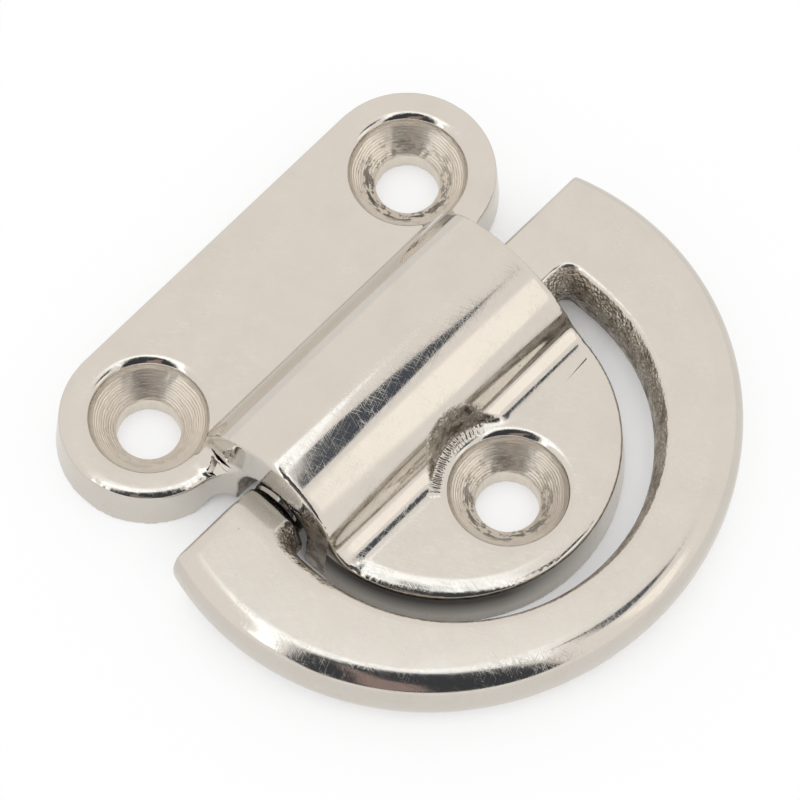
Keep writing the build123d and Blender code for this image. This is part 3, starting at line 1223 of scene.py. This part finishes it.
CARDS = (
    Card("dark_flag", (0.055, 0.058, 0.065), (
        (0, 42), (-6, 33), (-15, 18), (-25, -2), (-34, -20), (-42, -34), (-36, -47), (-10, -52), (12, -52),
        (32, -47), (41, -39), (32, -22), (21, 0), (13, 16), (5, 34),
    ), 0.70, 0.03),
    Card("brown_stripe", (0.353, 0.261, 0.238), (
        (-9, 20), (-6, 18), (-5, -8), (1, -20), (3, -46), (-14, -50), (-19, -42), (-13, -10),
    ), 0.68, 0.02),
    Card("white_strip_left", (1.9, 1.9, 1.85), (
        (-2, 47.5), (-9, 41), (-19, 25), (-30, 7), (-40, -8), (-53, -25), (-49, -33), (-41, -32), (-33, -15),
        (-24, 2), (-14, 19), (-4, 36),
    ), 0.75, 0.05),
    Card("white_strip_right", (1.5, 1.5, 1.48), (
        (2, 47.5), (9, 38), (16, 22), (22, 6), (19, 0), (9, 22), (3, 36),
    ), 0.75, 0.045),
    Card("hood_flag", (0.085, 0.095, 0.115), (
        (30.5, 29), (11, 35.2), (9.0, 33.9), (27.4, 11.4), (31, 14),
    ), 0.66, 0.008),
    Card("apex_glow", (1.45, 1.45, 1.43), (
        (-5, 46.5), (5, 46.5), (8, 34), (-8, 34),
    ), 0.77, 0.03),
    Card("front_glow", (1.29, 1.2, 1.1), (
        (30, 10), (46, 20), (64, 4), (66, -22), (50, -16), (36, -2),
    ), 0.78, 0.12),
)


@dataclass(frozen=True)
class Studio:
    """Pale table, soft light, flags and reflectors, and the photograph's camera."""

    camera_at: Triple = (-0.29032693, -0.27529818, 0.83698109)
    camera_turn: Triple = (25.014845, -0.726962, -46.792477)
    lens: float = 403.798
    clip: Spot = (0.05, 20.0)
    floor_size: float = 4.0
    floor_white: float = 0.99
    floor_fill: float = 0.88
    shadow_reach: float = 0.008
    shadow_samples: int = 2
    wall_tone: Triple = (0.985, 0.925, 0.865)
    mirrored_floor: Triple = (0.86, 0.82, 0.775)

    def build(self) -> None:
        """Set up table, room, cards and camera."""
        self.table()
        self.room()
        turn = [math.radians(angle) for angle in self.camera_turn]
        bpy.ops.object.camera_add(location=self.camera_at, rotation=turn)
        camera = bpy.context.object
        camera.data.lens = self.lens
        camera.data.clip_start, camera.data.clip_end = self.clip
        bpy.context.scene.camera = camera
        bpy.context.scene.view_settings.view_transform = "Standard"
        outward = Vector(self.camera_at).normalized()
        facing = outward.to_track_quat("Z", "Y").to_matrix().to_4x4()
        for card in CARDS:
            card.build(facing)

    def table(self) -> None:
        """Lay the white table, which keeps the object's shadow but shows nearly white."""
        Bench.clear()
        bpy.ops.mesh.primitive_plane_add(size=self.floor_size)
        floor = bpy.context.object
        floor.name = "table"
        paint, board = new_material("table_white")
        shader = paint.node_tree.nodes["Principled BSDF"]
        shader.inputs["Base Color"].default_value = opaque((self.floor_white,) * 3)
        shader.inputs["Roughness"].default_value = 1.0
        shader.inputs["Specular IOR Level"].default_value = 0.0
        rays = board.add("ShaderNodeLightPath").outputs
        tone = board.blend(rays["Is Glossy Ray"], WHITE, opaque(self.mirrored_floor))
        glow = board.add("ShaderNodeEmission", Color=tone)
        samples = {"samples": self.shadow_samples}
        sky = board.add("ShaderNodeAmbientOcclusion", samples, Distance=self.shadow_reach)
        seen = board.sum("MAXIMUM", rays["Is Glossy Ray"], rays["Is Transmission Ray"])
        seen = board.sum("MAXIMUM", rays["Is Camera Ray"], seen)
        share = board.times(board.times(seen, board.span(sky.outputs["AO"], 0.1, 0.6)), self.floor_fill)
        mixed = board.mix(share, shader.outputs[0], glow.outputs[0])
        board.feed(paint.node_tree.nodes["Material Output"].inputs["Surface"], mixed)
        floor.data.materials.append(paint)

    def room(self) -> None:
        """Light the room evenly; its walls look a little warm in the metal."""
        world = bpy.data.worlds.new("studio")
        world.use_nodes = True
        board = Board(world.node_tree)
        mirrored = board.add("ShaderNodeLightPath").outputs["Is Glossy Ray"]
        light = board.blend(mirrored, WHITE, opaque(self.wall_tone))
        board.feed(world.node_tree.nodes["Background"].inputs["Color"], light)
        bpy.context.scene.world = world


def paint_finish_and_shade(piece: Solid, regions: Callable[[np.ndarray, np.ndarray], np.ndarray]) -> None:
    """Write a piece's finish regions, painted shade among them, to its colour attribute.

    Args:
        piece: The skin.
        regions: Gives red, green, blue and alpha shares for points in millimetres and their normals.
    """
    mesh = piece.data
    count = len(mesh.vertices)
    points = np.empty(count * 3)
    normals = np.empty(count * 3)
    mesh.vertices.foreach_get("co", points)
    mesh.vertex_normals.foreach_get("vector", normals)
    shares = np.clip(regions(points.reshape(-1, 3) / MM, normals.reshape(-1, 3)), 0, 1)
    mesh.attributes.new("finish", "FLOAT_COLOR", "POINT").data.foreach_set("color", shares.ravel())


def main() -> None:
    """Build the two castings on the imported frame, dress them and set the studio round them."""
    logging.basicConfig(level=logging.INFO, format="%(message)s")
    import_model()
    casting, ring = BaseCasting(), DRing()
    base_metal = WorkedStainless("base_stainless", casting.holes())
    ring_metal = WorkedStainless("ring_stainless", roughness=0.085)
    for form, node, body, slot, finish in (
        (casting, "base_casting", "base", "base_metal", base_metal),
        (ring, "d_ring", "ring", "ring_metal", ring_metal),
    ):
        piece = form.build()
        paint_finish_and_shade(piece, form.regions)
        piece.data.materials.clear()
        piece.data.materials.append(finish.build())
        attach(piece, body)
        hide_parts(node)
        LOG.info("%s: %d faces", piece.name, len(piece.data.polygons))
    Studio().build()


if __name__ == "__main__":
    main()
